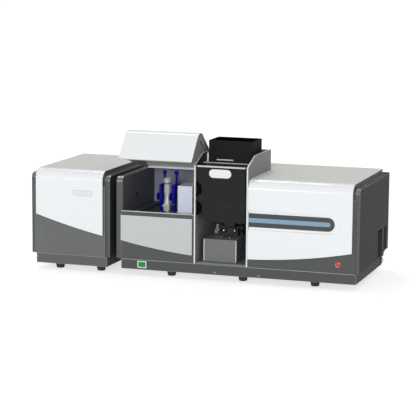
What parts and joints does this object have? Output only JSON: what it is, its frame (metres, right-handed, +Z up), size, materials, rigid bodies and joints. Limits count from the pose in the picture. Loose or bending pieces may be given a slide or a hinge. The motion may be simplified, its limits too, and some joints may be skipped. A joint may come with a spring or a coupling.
{
  "type": "atomic absorption spectrophotometer",
  "caption": "Bench atomic absorption spectrophotometer: graphite furnace bay under a raised lid, flame bay with glass door and hood, optics housing, and a separate furnace power supply.",
  "frame": {"origin": "on the bench, under the middle of the whole object's bounding box", "axes": "+X to the operator's right along both cabinets, +Y from the front to the rear, +Z up"},
  "size_m": [1.3694, 0.561, 0.5794],
  "materials": {
    "dark_panel": "satin",
    "grey_panel": "satin",
    "white_cover": "satin",
    "light_inlay": "matte",
    "stripe": "gloss",
    "bay_plate": "satin",
    "cream_top": "matte",
    "black_metal": "satin",
    "box_grey": "satin",
    "steel": "brushed",
    "cast_alu": "matte",
    "optics_glass": "polished",
    "circuit": "matte",
    "black_plastic": "matte",
    "side_plate": "matte",
    "furnace_white": "satin",
    "furnace_blue": "anodised",
    "pale_box": "satin",
    "foot_rubber": "matte",
    "copper": "enamelled",
    "lamp_green": "gloss",
    "smoked_glass": "polished",
    "lamp_glass": "polished",
    "grating_face": "polished",
    "dark_metal": "satin",
    "bright": "polished",
    "red_button": "gloss"
  },
  "bodies": {
    "cabinets": {"base_main": "grey_panel", "side_panel_left": "dark_panel", "side_panel_right": "dark_panel", "rear_panel_main": "dark_panel", "lower_fronts": "grey_panel", "fascia_inlay": "light_inlay", "furnace_bay_floor": "grey_panel", "bay_back_wall": "dark_panel", "rear_deck_cover": "white_cover", "optics_cover": "white_cover", "stripe_band": "stripe", "bay_plate_left": "bay_plate", "bay_plate_right": "bay_plate", "flame_bay_floor": "grey_panel", "flame_bay_top": "cream_top", "door_header": "black_metal", "chimney_hood": "black_metal", "burner_box": "box_grey", "hinge_pins": "steel", "optical_bench": "cast_alu", "monochromator_case": "black_metal", "beam_optics": "optics_glass", "detector": "black_metal", "electronics_tray": "circuit", "gas_control_box": "cast_alu", "gas_fittings": "steel", "mains_inlet": "black_plastic", "fan_frames": "black_plastic", "turret_bracket": "steel", "furnace_base": "furnace_white", "furnace_body": "furnace_white", "furnace_fixed_jaw": "furnace_blue", "furnace_supply_box": "pale_box", "feet": "foot_rubber", "base_supply": "grey_panel", "supply_sides": "dark_panel", "supply_cover": "white_cover", "supply_lower_front": "grey_panel", "supply_rear_panel": "dark_panel", "transformer": "copper", "supply_lamps": "lamp_green"},
    "lid": {"furnace_lid": "white_cover", "lid_side_plates": "side_plate"},
    "door": {"flame_door": "smoked_glass", "door_clamps": "black_plastic"},
    "turret": {"lamp_turret": "cast_alu", "hollow_cathode_lamps": "lamp_glass"},
    "grating_table": {"grating": "grating_face"},
    "moving_jaw": {"furnace_moving_jaw": "furnace_blue"},
    "clamp_knob_left": {"furnace_knob_left": "furnace_blue"},
    "clamp_knob_right": {"furnace_knob_right": "furnace_blue"},
    "carriage": {"burner_carriage": "dark_metal"},
    "lift": {"burner_lift": "dark_metal", "mixing_chamber": "black_plastic"},
    "head": {"burner_head": "cast_alu"},
    "lift_adjuster": {"lift_knob": "bright"},
    "traverse_adjuster": {"traverse_knob": "bright"},
    "power_switch": {"power_button": "red_button"},
    "main_fan": {"main_fan_rotor": "black_plastic"},
    "supply_fan": {"supply_fan_rotor": "black_plastic"}
  },
  "joints": [
    {"name": "lid_hinge", "type": "hinge", "parent": "cabinets", "child": "lid", "pos_m": [-0.1353, 0.04395, 0.4079], "axis": [1, 0, 0], "range_deg": [0, 40]},
    {"name": "door_hinge", "type": "hinge", "parent": "cabinets", "child": "door", "pos_m": [0.0301, -0.23955, 0.347], "axis": [0, 0, -1], "range_deg": [0, 90]},
    {"name": "turret_turn", "type": "hinge", "parent": "cabinets", "child": "turret", "pos_m": [-0.1353, 0.20095, 0.27], "axis": [1, 0, 0], "range_deg": [0, 270]},
    {"name": "grating_turn", "type": "hinge", "parent": "cabinets", "child": "grating_table", "pos_m": [0.5647, 0.00345, 0.26], "axis": [0, 0, 1], "range_deg": [-20, 20]},
    {"name": "jaw_slide", "type": "slide", "parent": "cabinets", "child": "moving_jaw", "axis": [1, 0, 0], "range_m": [0, 0.012]},
    {"name": "clamp_turn_left", "type": "hinge", "parent": "cabinets", "child": "clamp_knob_left", "pos_m": [-0.1763, -0.04655, 0.38], "axis": [0, 0, 1], "range_deg": [0, 360]},
    {"name": "clamp_turn_right", "type": "hinge", "parent": "moving_jaw", "child": "clamp_knob_right", "pos_m": [-0.1253, -0.04655, 0.38], "axis": [0, 0, 1], "range_deg": [0, 360]},
    {"name": "carriage_slide", "type": "slide", "parent": "cabinets", "child": "carriage", "axis": [0, 1, 0], "range_m": [-0.008, 0.008]},
    {"name": "traverse_turn", "type": "hinge", "parent": "carriage", "child": "traverse_adjuster", "pos_m": [0.1097, -0.14155, 0.1903], "axis": [0, 1, 0], "range_deg": [-180, 180]},
    {"name": "lift_slide", "type": "slide", "parent": "carriage", "child": "lift", "axis": [0, 0, 1], "range_m": [-0.008, 0.008]},
    {"name": "lift_turn", "type": "hinge", "parent": "carriage", "child": "lift_adjuster", "pos_m": [0.1547, -0.14155, 0.1903], "axis": [0, 1, 0], "range_deg": [-180, 180]},
    {"name": "head_turn", "type": "hinge", "parent": "lift", "child": "head", "pos_m": [0.1247, -0.06655, 0.26], "axis": [0, 0, 1], "range_deg": [0, 90]},
    {"name": "power_press", "type": "slide", "parent": "cabinets", "child": "power_switch", "axis": [0, 1, 0], "range_m": [0, 0.003], "stiffness_N_per_m": 400, "springref_m": -0.001},
    {"name": "main_fan_spin", "type": "hinge", "parent": "cabinets", "child": "main_fan", "pos_m": [0.4747, 0.26545, 0.25], "axis": [0, 1, 0], "continuous": true},
    {"name": "supply_fan_spin", "type": "hinge", "parent": "cabinets", "child": "supply_fan", "pos_m": [-0.51435, 0.26545, 0.2], "axis": [0, 1, 0], "continuous": true}
  ],
  "couplings": [
    {"joint": "traverse_turn", "follows": "carriage_slide", "rad_per_m": 392.7},
    {"joint": "lift_turn", "follows": "lift_slide", "rad_per_m": 392.7}
  ]
}
